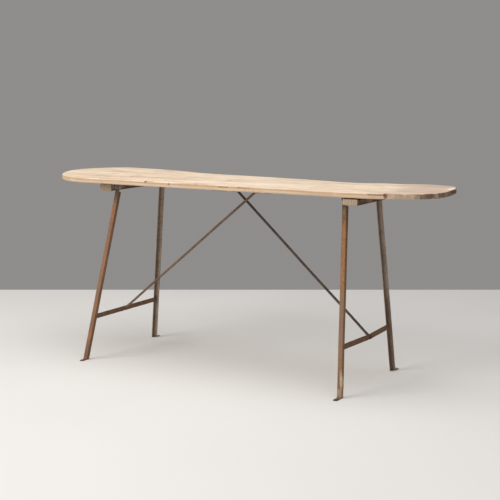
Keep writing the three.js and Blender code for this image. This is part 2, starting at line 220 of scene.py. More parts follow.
# Marks on the board: place, half sizes, colour and strength.
BOARD_MARKS = [
    ((-0.487, -0.079, 0.780), (0.011, 0.020, 0.004), (0.16, 0.13, 0.11), 0.80),
    ((-0.480, -0.060, 0.780), (0.030, 0.045, 0.004), (0.62, 0.44, 0.29), 0.45),
    ((-0.496, 0.102, 0.780), (0.016, 0.022, 0.004), (0.50, 0.31, 0.17), 0.65),
    ((-0.307, -0.225, 0.778), (0.011, 0.014, 0.006), (0.15, 0.08, 0.04), 0.90),
    ((-0.285, -0.222, 0.779), (0.022, 0.020, 0.006), (0.52, 0.33, 0.18), 0.55),
    ((-0.193, -0.230, 0.774), (0.007, 0.012, 0.006), (0.28, 0.15, 0.07), 0.80),
    ((-0.064, -0.228, 0.778), (0.011, 0.014, 0.006), (0.50, 0.30, 0.16), 0.65),
    ((-0.036, -0.020, 0.780), (0.016, 0.020, 0.004), (0.36, 0.25, 0.17), 0.60),
    ((0.741, -0.202, 0.774), (0.010, 0.016, 0.016), (0.20, 0.085, 0.055), 0.92),
    ((0.752, -0.196, 0.778), (0.016, 0.018, 0.010), (0.50, 0.33, 0.24), 0.35),
    ((0.832, -0.163, 0.772), (0.006, 0.020, 0.016), (0.62, 0.49, 0.37), 0.55),
    ((0.851, -0.150, 0.772), (0.004, 0.020, 0.014), (0.56, 0.43, 0.32), 0.50),
    ((0.900, -0.094, 0.770), (0.010, 0.014, 0.012), (0.52, 0.40, 0.30), 0.60),
    ((0.908, 0.030, 0.789), (0.017, 0.036, 0.010), (0.92, 0.82, 0.73), 0.75),
    ((0.375, -0.222, 0.776), (0.060, 0.020, 0.006), (0.50, 0.320, 0.190), 0.40),
    ((0.548, -0.213, 0.772), (0.003, 0.020, 0.010), (0.92, 0.80, 0.66), 0.50),
    ((0.868, -0.040, 0.784), (0.045, 0.060, 0.010), (0.56, 0.37, 0.28), 0.35),
    ((0.921, 0.020, 0.778), (0.008, 0.040, 0.007), (0.12, 0.065, 0.045), 0.85),
    ((0.700, 0.090, 0.784), (0.050, 0.035, 0.012), (0.62, 0.46, 0.36), 0.50),
]

# Worn and stained places on the ironwork, given in the same way.
FRONT_LEG_MARKS = [
    ((0.587, -0.241, 0.084), (0.007, 0.030, 0.034), (0.52, 0.395, 0.270), 0.60),
    ((0.592, -0.243, 0.062), (0.008, 0.030, 0.030), (0.64, 0.500, 0.340), 0.70),
    ((0.592, -0.275, 0.000), (0.040, 0.040, 0.009), (0.085, 0.066, 0.052), 0.90),
    ((-0.620, -0.285, 0.000), (0.040, 0.040, 0.009), (0.100, 0.074, 0.058), 0.85),
    ((0.590, -0.240, 0.020), (0.022, 0.040, 0.022), (0.42, 0.345, 0.27), 0.60),
    ((0.557, -0.153, 0.712), (0.030, 0.030, 0.055), (0.155, 0.098, 0.055), 0.65),
    ((0.554, -0.156, 0.700), (0.006, 0.020, 0.018), (0.32, 0.235, 0.120), 0.60),
    ((0.575, -0.205, 0.250), (0.040, 0.070, 0.190), (0.255, 0.165, 0.115), 0.60),
    ((-0.560, -0.210, 0.380), (0.120, 0.090, 0.330), (0.245, 0.145, 0.098), 0.50),
    ((-0.508, -0.168, 0.725), (0.030, 0.030, 0.055), (0.105, 0.075, 0.055), 0.70),
    ((-0.612, -0.250, 0.045), (0.030, 0.040, 0.045), (0.175, 0.112, 0.080), 0.70),
    ((-0.548, -0.200, 0.400), (0.020, 0.030, 0.070), (0.31, 0.160, 0.080), 0.45),
]
REAR_LEG_MARKS = [
    ((0.585, 0.225, 0.130), (0.050, 0.070, 0.290), (0.125, 0.084, 0.057), 0.62),
    ((-0.550, 0.200, 0.560), (0.040, 0.050, 0.120), (0.240, 0.165, 0.115), 0.50),
]
CROSSBAR_MARKS = [
    ((0.592, 0.005, 0.190), (0.016, 0.018, 0.014), (0.24, 0.090, 0.052), 0.40),
]

# Bright, middle and dark tone of each rust.
RUST_TONES = {
    "leg_rust_front": ((0.345, 0.172, 0.078), (0.225, 0.118, 0.062), (0.110, 0.062, 0.040)),
    "leg_rust_rear": ((0.39, 0.300, 0.232), (0.265, 0.198, 0.150), (0.095, 0.066, 0.050)),
    "crossbar_rust": ((0.225, 0.125, 0.075), (0.150, 0.088, 0.054), (0.070, 0.042, 0.030)),
    "left_brace_rust": ((0.225, 0.145, 0.098), (0.155, 0.104, 0.074), (0.080, 0.054, 0.040)),
    "right_brace_rust": ((0.112, 0.080, 0.060), (0.074, 0.054, 0.042), (0.038, 0.028, 0.023)),
    "bracket_rust": ((0.30, 0.255, 0.225), (0.15, 0.118, 0.098), (0.060, 0.043, 0.035)),
    "fastener_rust": ((0.20, 0.150, 0.115), (0.12, 0.082, 0.060), (0.060, 0.040, 0.030)),
}


def board_finish():
    """Dry, pale softwood: long grain, growth rings, knots, honey-brown edges and a greyed nose."""
    wood = Finish("board_softwood", 0.8, specular=0.2)
    x, y, z = wood.axes(wood.place)
    upward = wood.axes(wood.facing)[2]

    broad = wood.grain((1.6, 16, 16), 3.0, 0.55)
    streak = wood.grain((3.0, 70, 70), 4.0, shift=(3, 1, 0))
    fine = wood.grain((9.0, 420, 420))
    wander = wood.grain((0.9, 3.0, 3.0), 2.0, 0.4, shift=(7, 0, 0))
    pith = wood.mapped((1, 1, 1), shift=(0, 0.045, -0.705), turn=(0, 0.018, 0.010))
    sideways = wood.times(wander, 0.05)
    drift = wood.add("ShaderNodeCombineXYZ", {0: 0.0, 1: sideways, 2: 0.0}).outputs[0]
    ring_place = wood.vector("ADD", pith, drift)
    rings = wood.waves(ring_place, 40.0, 1.4, 1.6, wave_type="RINGS", rings_direction="X")

    wood.colour = wood.ramp(
        broad,
        (0.28, (0.74, 0.575, 0.420)),
        (0.48, (0.84, 0.690, 0.530)),
        (0.72, (0.88, 0.750, 0.620)),
    )
    wood.cover(wood.rise(streak, 0.52, 0.68), 0.55, (0.60, 0.43, 0.305))
    wood.cover(wood.rise(streak, 0.42, 0.28), 0.35, (0.93, 0.82, 0.69))
    wood.cover(wood.rise(rings, 0.70, 0.98), 0.26, (0.56, 0.37, 0.21))
    wood.cover(wood.rise(fine, 0.55, 0.75), 0.22, (0.50, 0.36, 0.25))

    # Short dark dashes lie in the grain, with browner clouds over them.
    dashes = wood.grain((13, 75, 75), 2.0, 0.5, shift=(11, 4, 0))
    wood.cover(wood.rise(dashes, 0.665, 0.74), 0.55, (0.36, 0.24, 0.165))
    clouding = wood.grain((4, 9, 9), shift=(2, 5, 1))
    wood.cover(wood.rise(clouding, 0.55, 0.75), 0.30, (0.72, 0.52, 0.40))

    # Scrubbing has left patches along the grain, some washed out and some brown.
    patches = wood.grain((9, 34, 34), shift=(5, 2, 3))
    tint = wood.ramp(
        patches,
        (0.34, (0.83, 0.795, 0.750)),
        (0.48, (0.995, 0.990, 0.985)),
        (0.64, (1.12, 1.13, 1.14)),
    )
    wood.colour = wood.mix(1.0, wood.colour, tint, "MULTIPLY")

    # Handling has left the sawn edges warmer and browner than the scrubbed top. The edges are darker towards
    # the bottom, and a line of painted shade runs along the top arris.
    upright = wood.rise(wood.absolute(upward), 0.75, 0.30)
    edge = wood.ramp(streak, (0.35, (0.64, 0.465, 0.305)), (0.65, (0.50, 0.345, 0.215)))
    wood.cover(upright, 0.75, edge)
    low_edge = wood.times(upright, wood.rise(z, 0.7665, 0.7600))
    wood.cover(low_edge, 0.40, (0.40, 0.26, 0.15))
    # Painted shade: a darker line along the top arris of the edges.
    arris_shade_line = wood.rise(wood.plus(z, wood.times(broad, 0.012)), 0.7760, 0.7800)
    arris_shade_line = wood.times(arris_shade_line, wood.rise(wood.absolute(upward), 0.95, 0.60))
    wood.cover(arris_shade_line, 0.60, (0.48, 0.300, 0.175))

    # The underside is darker and was never scrubbed.
    under = wood.rise(upward, -0.4, -0.8)
    wood.cover(under, 0.55, (0.50, 0.37, 0.25))

    # The nose is greyed and bruised, with pale ticks across its edge. Its sides are painted darker towards
    # the tip: partly dark end grain, partly painted shade of faces turned from the light.
    nose = wood.rise(wood.plus(x, wood.times(wander, 0.12)), 0.70, 0.84)
    greyed = wood.ramp(streak, (0.30, (0.67, 0.510, 0.410)), (0.70, (0.40, 0.285, 0.225)))
    wood.cover(nose, 0.70, greyed)
    ticks = wood.grain((60, 60, 12))
    # Partly painted shade: the nose's sides are darkened, most at the end grain of its tip.
    nose_side_tone_and_shade = wood.times(wood.rise(x, 0.755, 0.79), upright)
    tan_grain = wood.ramp(ticks, (0.36, (0.40, 0.285, 0.195)), (0.66, (0.56, 0.420, 0.30)))
    wood.cover(nose_side_tone_and_shade, 0.8, tan_grain)
    nose_end_grain_and_shade = wood.rise(wood.plus(x, wood.times(ticks, 0.02)), 0.846, 0.866)
    nose_end_grain_and_shade = wood.times(nose_end_grain_and_shade, upright)
    end_grain = wood.ramp(ticks, (0.38, (0.150, 0.100, 0.070)), (0.62, (0.27, 0.190, 0.135)))
    wood.cover(nose_end_grain_and_shade, 0.9, end_grain)
    tip_edge = wood.times(wood.rise(x, -0.76, -0.86), upright)
    tip_grain = wood.ramp(ticks, (0.38, (0.42, 0.290, 0.165)), (0.62, (0.62, 0.460, 0.290)))
    wood.cover(tip_edge, 0.75, tip_grain)

    # Grime in the broken grain line under the front arris.
    near_front = wood.rise(y, -0.215, -0.224)
    for start, end, height in ((0.036, 0.098, 0.7745), (0.118, 0.186, 0.7755)):
        along = wood.times(wood.rise(x, start, start + 0.008), wood.rise(x, end, end - 0.008))
        away = wood.absolute(wood.math("SUBTRACT", z, height))
        line = wood.times(along, wood.rise(away, 0.0022, 0.0010))
        line = wood.times(line, near_front)
        line = wood.times(line, wood.rise(wood.noise(80.0, 2.0), 0.38, 0.52))
        wood.cover(line, 0.85, (0.17, 0.10, 0.06))

    for place, size, tone, strength in BOARD_MARKS:
        wood.cover(wood.spot(place, size), strength, tone)

    # The crack holds dirt in its depth.
    crack = wood.rise(x, CRACK.start, CRACK.start + 0.02)
    crack = wood.times(crack, wood.rise(x, CRACK.end + 0.01, CRACK.end))
    depth = wood.absolute(wood.math("SUBTRACT", z, CRACK.height))
    crack = wood.times(crack, wood.rise(depth, 0.0030, 0.0012))
    crack = wood.times(crack, upright)
    wood.cover(crack, 0.9, (0.10, 0.055, 0.035))

    grain = wood.plus(wood.times(streak, 0.6), wood.times(fine, 0.5))
    normal = wood.bump(grain, 0.45, 0.0008)
    normal = wood.bump(rings, 0.15, 0.0004, normal)
    return wood.finish(normal, wood.between(streak, 0.70, 0.90))


def cleat_finish():
    """Rough sawn softwood whose long faces are painted very dark, as painted shade under the board, with pale
    end grain facing front and rear.
    """
    wood = Finish("cleat_rough_wood_painted_shade", 0.88, specular=0.15)
    endward = wood.axes(wood.facing)[1]
    streak = wood.grain((60, 3, 60), 4.0)
    saw = wood.grain((8, 210, 8), 2.0, 0.5)
    fine = wood.noise(700.0, 3.0)
    # Painted shade: the long faces get very dark tones with the grain's streaks in them; only the end grain
    # below is pale.
    wood.colour = wood.ramp(
        streak,
        (0.30, (0.060, 0.038, 0.026)),
        (0.52, (0.105, 0.068, 0.046)),
        (0.75, (0.19, 0.125, 0.085)),
    )
    stain = wood.spot((0.637, -0.105, 0.745), (0.012, 0.035, 0.020), 0.4, 40.0)
    wood.cover(stain, 0.7, (0.30, 0.165, 0.11))
    wood.cover(wood.rise(saw, 0.5, 0.7), 0.25, (0.05, 0.032, 0.022))
    ring_place = wood.mapped((1, 0.2, 0.3), shift=(0.02, 0, 0.02))
    rings = wood.waves(ring_place, 34.0, 2.2, 1.5, wave_type="BANDS", bands_direction="X")
    end_grain = wood.ramp(
        rings,
        (0.15, (0.47, 0.365, 0.250)),
        (0.60, (0.42, 0.320, 0.215)),
        (0.95, (0.34, 0.250, 0.165)),
    )
    end_grain = wood.mix(wood.times(fine, 0.30), end_grain, (0.34, 0.25, 0.17))
    wood.cover(wood.rise(wood.absolute(endward), 0.5, 0.8), 1.0, end_grain)
    normal = wood.bump(wood.plus(streak, saw), 0.5, 0.0007)
    normal = wood.bump(fine, 0.2, 0.0003, normal)
    return wood.finish(normal)


def rust_finish(name, marks=(), shade_on_sides=0.0):
    """Old rust in its three tones, pitted and speckled, with worn or stained places.
    The faces turned along the board can be painted darker, as painted shade on the sides the light misses."""
    bright, middle, dark = RUST_TONES[name]
    iron = Finish(name, 0.82, specular=0.25, metallic=0.12)
    clouds = iron.noise(22.0, 4.0, 0.6, iron.mapped((1, 1, 0.45)))
    blots = iron.noise(75.0, 4.0, 0.65, distortion=0.4)
    specks = iron.noise(620.0, 3.0, 0.6)
    iron.colour = iron.ramp(clouds, (0.32, middle), (0.60, bright))
    # Painted shade: faces turned along the board are darkened towards the dark tone.
    if shade_on_sides:
        endward = iron.axes(iron.facing)[0]
        side_shade_mask = iron.rise(iron.absolute(endward), 0.55, 0.85)
        iron.cover(side_shade_mask, shade_on_sides, dark)
    iron.cover(iron.rise(blots, 0.50, 0.68), 0.5, dark)
    iron.cover(iron.rise(specks, 0.56, 0.70), 0.45, dark)
    iron.cover(iron.rise(specks, 0.42, 0.30), 0.22, bright)
    for place, size, tone, strength in marks:
        iron.cover(iron.spot(place, size, 0.45, 120.0), strength, tone)
    normal = iron.bump(specks, 0.35, 0.0003)
    normal = iron.bump(blots, 0.30, 0.0008, normal)
    return iron.finish(normal, iron.between(blots, 0.66, 0.92))


def floor_finish():
    floor = Finish("pale_floor", 0.75, specular=0.2)
    cloud = floor.noise(0.8, 2.0)
    floor.colour = floor.ramp(cloud, (0.3, (0.80, 0.785, 0.765)), (0.7, (0.83, 0.815, 0.795)))
    return floor.finish()


# -------- mesh helpers

def detail(node, shells, material, sharp=35.0):
    """Puts a piece in the place of a CAD node, on the same body and material slot. It is made of
    closed shells, each a list of points and a list of faces."""
    name = f"{node}_detail"
    mesh = bpy.data.meshes.new(name)
    points, faces = [], []
    for shell_points, shell_faces in shells:
        base = len(points)
        points.extend(tuple(point) for point in shell_points)
        faces.extend(tuple(base + corner for corner in face) for face in shell_faces)
    mesh.from_pydata(points, [], faces)
    work = bmesh.new()
    work.from_mesh(mesh)
    bmesh.ops.remove_doubles(work, verts=work.verts, dist=0.002 * MM)
    bmesh.ops.dissolve_degenerate(work, edges=work.edges, dist=0.002 * MM)
    bmesh.ops.recalc_face_normals(work, faces=work.faces)
    work.to_mesh(mesh)
    work.free()
    for polygon in mesh.polygons:
        polygon.use_smooth = True
    mesh.set_sharp_from_angle(angle=math.radians(sharp))
    mesh.materials.append(material)
    piece = bpy.data.objects.new(name, mesh)
    SCENE.collection.objects.link(piece)
    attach(piece, frame["nodes"][node]["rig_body"])
    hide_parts(node)


def loft(rings):
    """Closed shell through rings of equal length, capped at both ends."""
    count = len(rings[0])
    points = [point for ring in rings for point in ring]
    faces = []
    for ring in range(len(rings) - 1):
        for corner in range(count):
            following = (corner + 1) % count
            low, high = ring * count, (ring + 1) * count
            faces.append((low + corner, low + following, high + following, high + corner))
    faces.append(tuple(reversed(range(count))))
    last = (len(rings) - 1) * count
    faces.append(tuple(last + corner for corner in range(count)))
    return points, faces


def rounded(corners, steps=3):
    """Outline with each corner (x, y, radius) rounded, always with the same number of points."""
    outline = []
    for index, (x, y, radius) in enumerate(corners):
        here = Vector((x, y))
        before = Vector(corners[index - 1][:2]) - here
        after = Vector(corners[(index + 1) % len(corners)][:2]) - here
        start = here + before.normalized() * min(radius, before.length * 0.45)
        end = here + after.normalized() * min(radius, after.length * 0.45)
        for step in range(steps + 1):
            share = step / steps
            outline.append(start * (1 - share) ** 2 + here * 2 * share * (1 - share) + end * share ** 2)
    return outline


def rectangle(left, right, half_height, radius, steps=3):
    corners = [(right, -half_height), (right, half_height), (left, half_height), (left, -half_height)]
    return rounded([(*corner, radius) for corner in corners], steps)


def corners_of(node):
    return [vertex.co for vertex in frame["nodes"][node].data.vertices]


def smooth(value, low, high):
    share = min(1.0, max(0.0, (value - low) / (high - low)))
    return share * share * (3 - 2 * share)


def blend(first, second, share):
    return first + (second - first) * share


def corner_cut(radius, from_end):
    """How far a rounded corner has drawn in, at a distance from the end."""
    return radius - math.sqrt(max(0.0, radius ** 2 - max(0.0, radius - from_end) ** 2))


def waver(place, scale, seed=0.0):
    """Smooth noise between about -1 and 1."""
    return noise.noise(Vector(place) * scale + Vector((seed, 2.3 * seed, -1.7 * seed)))


def spaced(start, end, step):
    count = max(2, math.ceil(abs(end - start) / step) + 1)
    return [blend(start, end, index / (count - 1)) for index in range(count)]


def turned(profile, seat, direction, steps=20):
    """Shell of revolution. The profile is (radius, distance along direction), on the axis at both ends."""
    axis = Vector(direction).normalized()
    first = axis.orthogonal().normalized()
    second = axis.cross(first)
    rings = []
    for radius, along in profile:
        centre = Vector(seat) + axis * along
        spread = max(radius, 0.01 * MM)
        angles = [2 * math.pi * step / steps for step in range(steps)]
        rings.append([centre + (first * math.cos(a) + second * math.sin(a)) * spread for a in angles])
    return loft(rings)


# -------- board

class CRACK:
    """A split in the front edge near the nose."""
    start = 0.668
    end = 0.738
    height = 0.7755
    depth = 2.6 * MM
    half_width = 1.0 * MM


class BOARD:
    """The plank, its worn edges, and how age has bent it. The left tip has worn back by tip_trim.
    rear_warp gives places along the board and how many millimetres its rear edge has risen there."""
    stations = 560
    across = 16
    arris_steps = 6
    side_steps = 12
    worn_arris = 5.5 * MM
    nose_arris = 3.0 * MM
    lower_arris = 2.5 * MM
    end_pull = 0.86
    tip_trim = 13 * MM
    rear_warp = (
        (-0.92, 4), (-0.60, 3), (-0.25, -3), (0.10, -2), (0.42, -4), (0.62, 2), (0.80, 7), (0.92, 9),
    )
    nose_swell = 1.5 * MM
    chips = 46


def board_ring():
    """The board's outline from the frame, left tip first, along the front and back along the rear."""
    columns = {}
    for corner in corners_of("board"):
        columns.setdefault(round(corner.x, 4), []).append(corner.y)
    front = convex_edge(sorted((x, min(ys)) for x, ys in columns.items()), -1)
    rear = convex_edge(sorted((x, max(ys)) for x, ys in columns.items()), 1)
    return front + rear[::-1][1:-1]


def convex_edge(points, side):
    kept = []
    for point in points:
        while len(kept) > 1 and turn_of(kept[-2], kept[-1], point) * side >= 0:
            kept.pop()
        kept.append(point)
    return kept


def turn_of(a, b, c):
    return (b[0] - a[0]) * (c[1] - a[1]) - (b[1] - a[1]) * (c[0] - a[0])


def smoothed(ring, steps=8):
    """Closed curve through the ring's points. A long straight run keeps its direction at its ends."""
    points = [Vector(point) for point in ring]
    count = len(points)
    headings = []
    for index, point in enumerate(points):
        before = point - points[index - 1]
        after = points[(index + 1) % count] - point
        if max(before.length, after.length) > 4 * min(before.length, after.length):
            heading = max(before, after, key=lambda run: run.length)
        else:
            heading = before.normalized() / before.length + after.normalized() / after.length
        headings.append(heading.normalized())
    curve = []
    for index, start in enumerate(points):
        end = points[(index + 1) % count]
        reach = (end - start).length
        first, last = headings[index] * reach, headings[(index + 1) % count] * reach
        for step in range(steps):
            t = step / steps
            curve.append(
                start * (2 * t ** 3 - 3 * t ** 2 + 1)
                + first * (t ** 3 - 2 * t ** 2 + t)
                + end * (3 * t ** 2 - 2 * t ** 3)
                + last * (t ** 3 - t ** 2)
            )
    return curve


def read_edge(edge, x):
    """Y at X along a list of points that runs towards higher X."""
    for start, end in zip(edge, edge[1:]):
        if start.x <= x <= end.x:
            return blend(start.y, end.y, (x - start.x) / max(end.x - start.x, 1e-9))
    return edge[0].y if x < edge[0].x else edge[-1].y


def board_columns():
    """Outline points with their spine points and outward normals, once round the board."""
    curve = smoothed(board_ring())
    left = min(range(len(curve)), key=lambda index: curve[index].x)
    curve = curve[left:] + curve[:left]
    right = max(range(len(curve)), key=lambda index: curve[index].x)
    front, rear = curve[: right + 1], [curve[0]] + curve[right:][::-1]
    low, high = curve[0].x, curve[right].x
    pairs = []
    for station in range(BOARD.stations + 1):
        x = blend(low, high, (1 - math.cos(math.pi * station / BOARD.stations)) / 2)
        near, far = read_edge(front, x), read_edge(rear, x)
        spine = Vector((x * BOARD.end_pull, (near + far) / 2))
        pairs.append((Vector((x, near)), Vector((x, far)), spine))
    ring = [(near, spine) for near, far, spine in pairs]
    ring += [(far, spine) for near, far, spine in pairs[1:-1][::-1]]
    columns = []
    for index, (edge, spine) in enumerate(ring):
        along = ring[(index + 1) % len(ring)][0] - ring[index - 1][0]
        columns.append((edge, spine, Vector((along.y, -along.x)).normalized()))
    return columns


def board_chips(columns, top, bottom):
    """Seeded dents along both arrises, at least a third of them on the nose."""
    draw = random.Random(5)
    chips = []
    for number in range(BOARD.chips):
        on_nose = number % 3 == 0
        edge, spine, outward = columns[draw.randrange(len(columns))]
        if on_nose:
            nose = [column for column in columns if column[0].x > 0.72]
            edge, spine, outward = nose[draw.randrange(len(nose))]
        on_top = draw.random() < 0.6
        height = top if on_top else bottom
        radius = draw.uniform(4, 12) * MM * (1.3 if on_nose else 1.0)
        depth = draw.uniform(0.5, 1.4) * MM * (1.7 if on_nose else 1.0)
        push = Vector((-outward.x, -outward.y, -1.0 if on_top else 1.0)).normalized() * depth
        chips.append((Vector((edge.x, edge.y, height)), radius, push))
    return chips


def rear_warp(x):
    """How far the rear edge has warped up or down at a place along the board."""
    for (x0, rise0), (x1, rise1) in zip(BOARD.rear_warp, BOARD.rear_warp[1:]):
        if x <= x1:
            return blend(rise0, rise1, smooth(x, x0, x1)) * MM
    return BOARD.rear_warp[-1][1] * MM


def board_shape(point, outward, top, bottom):
    """Moves a point of the plain plank to where wear, warp and the crack leave it."""
    share = (point.z - bottom) / (top - bottom)
    nose = smooth(point.x, 0.64, 0.80)
    lift = rear_warp(point.x) * smooth(point.y, -0.10, 0.16 if point.x < 0.5 else 0.10)
    moved = point.copy()
    moved.x += BOARD.tip_trim * smooth(-point.x, 0.70, 0.92)
    moved.z += lift + share * nose * BOARD.nose_swell
    moved.z += 0.35 * MM * waver((point.x * 4, point.y * 12, share), 1.0)
    if outward is not None:
        sway = 0.7 * MM * waver((point.x, point.y, 0), 9.0, 1.0)
        rough = (0.12 + 0.55 * nose) * MM * waver((point.x, point.y, point.z * 0.4), 95.0, 2.0)
        slip = sway + rough
        from_crack = abs(point.z - CRACK.height)
        if CRACK.start < point.x < CRACK.end and point.y < 0 and from_crack < CRACK.half_width:
            ends = smooth(point.x, CRACK.start, CRACK.start + 0.03)
            ends *= smooth(point.x, CRACK.end, CRACK.end - 0.006)
            slip -= CRACK.depth * ends * (1 - from_crack / CRACK.half_width)
        moved.x += outward.x * slip
        moved.y += outward.y * slip
    return moved


def board_piece(material):
    low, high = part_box("board")
    top, bottom = high.z, low.z
    columns = board_columns()
    chips = board_chips(columns, top, bottom)
    shares = [step / BOARD.across for step in range(BOARD.across)]
    points = []
    for edge, spine, outward in columns:
        arris = blend(BOARD.worn_arris, BOARD.nose_arris, smooth(edge.x, 0.58, 0.72))
        lower = BOARD.lower_arris
        column = [(spine.lerp(edge - outward * arris, share), top, None) for share in shares]
        for step in range(BOARD.arris_steps + 1):
            angle = math.pi / 2 * step / BOARD.arris_steps
            place = edge - outward * arris * (1 - math.sin(angle))
            column.append((place, top - arris * (1 - math.cos(angle)), outward))
        for step in range(1, BOARD.side_steps + 1):
            column.append((edge, blend(top - arris, bottom + lower, step / BOARD.side_steps), outward))
        for step in range(1, 4):
            angle = math.pi / 2 * step / 3
            place = edge - outward * lower * (1 - math.cos(angle))
            column.append((place, bottom + lower * (1 - math.sin(angle)), outward))
        column += [(spine.lerp(edge - outward * lower, share), bottom, None) for share in shares[::-1]]
        for place, height, facing in column:
            points.append(board_shape(Vector((place.x, place.y, height)), facing, top, bottom))
    for centre, radius, push in chips:
        for point in points:
            if abs(point.x - centre.x) < radius:
                apart = (point - centre).length_squared / radius ** 2
                if apart < 1:
                    point += push * (1 - apart) ** 2
    height = len(column)
    faces = []
    for index in range(len(columns)):
        following = (index + 1) % len(columns)
        for row in range(height - 1):
            first, second = index * height + row, following * height + row
            faces.append((first, second, second + 1, first + 1))
    detail("board", [(points, faces)], material, sharp=60.0)


# -------- cleats

class CLEAT:
    """Sawn blocks. The relief is how far each has been cut down under the board at its front end."""
    relief = {"left": 6.5 * MM, "right": 4.5 * MM}
    relief_start = 10 * MM
    relief_end = 120 * MM
    blunt = 1.6 * MM
    saw_step = 6 * MM


def cleat_piece(key, material, draw):
    """Block with blunted arrises, its saw cuts a little out of true."""
    low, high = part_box(f"{key}_cleat")
    seed = draw.uniform(0, 50)
    rings = []
    blunt = CLEAT.blunt
    stations = [low.y, low.y + 0.5 * MM, low.y + blunt]
    stations += spaced(low.y + 5 * MM, high.y - 5 * MM, CLEAT.saw_step)
    stations += [high.y - blunt, high.y - 0.5 * MM, high.y]
    for y in stations:
        inset = corner_cut(blunt, min(y - low.y, high.y - y))
        corners = [
            (low.x + inset, low.z + inset, 2 * MM),
            (high.x - inset, low.z + inset, 2 * MM),
            (high.x - inset, high.z - inset, 1 * MM),
            (low.x + inset, high.z - inset, 1 * MM),
        ]
        sunk = CLEAT.relief[key] * (1 - smooth(y, low.y + CLEAT.relief_start, low.y + CLEAT.relief_end))
        ring = []
        for x, z in divided(rounded(corners, 2), CLEAT.saw_step):
            shift = 0.35 * MM * waver((x, y, z), 40.0, seed) + 0.15 * MM * waver((x, y, z), 160.0, seed)
            out = Vector((x - (low.x + high.x) / 2, 0, (z - (low.z + high.z) / 2) * 2)).normalized()
            if z > high.z - 3 * MM:
                shift = -abs(shift)
            ring.append(Vector((x, y, z - sunk * smooth(z, low.z, high.z))) + out * shift)
        rings.append(ring)
    detail(f"{key}_cleat", [loft(rings)], material)


def divided(outline, step):
    """Outline with points added on its longer runs."""
    points = []
    for index, start in enumerate(outline):
        end = outline[(index + 1) % len(outline)]
        parts = max(1, round((end - start).length / step))
        points += [start.lerp(end, part / parts) for part in range(parts)]
    return points


# -------- trestles

class ANGLE:
    """Rolled angle iron of the legs. Its web faces the front or rear, its flange meets the crossbar.
    The flange ends at flange_stop below the hinge, where the web narrows to a round tongue."""
    thickness = 3.0 * MM
    heel_from_axis = 5.3 * MM
    fillet = 3.2 * MM
    toe_round = 1.7 * MM
    arris = 0.5 * MM
    flange_stop = 22 * MM
    neck = 18 * MM
    tongue = 8 * MM
    bend = 4.5 * MM
    toe_corner = 5 * MM
    bow = 0.8 * MM
    pitting = 0.14 * MM
    step = 4 * MM


def angle_ring(centre, across, inward, tip, heel, flange):
    half = ANGLE.thickness / 2
    corners = [
        (heel, -half, 0.8 * MM),
        (heel, flange, ANGLE.arris),
        (heel - ANGLE.thickness, flange, ANGLE.toe_round),
        (heel - ANGLE.thickness, half, ANGLE.fillet),
        (tip, half, ANGLE.toe_round),
        (tip, -half, ANGLE.arris),
    ]
    ring = []
    for along, deep in rounded(corners):
        point = centre + Vector((across * along, 0, 0)) + inward * deep
        pit = Vector((ANGLE.pitting * waver(point, 150.0, 3.0), 0, 0))
        point += inward * (ANGLE.pitting * waver(point, 170.0)) + pit
        ring.append(point)
    return ring


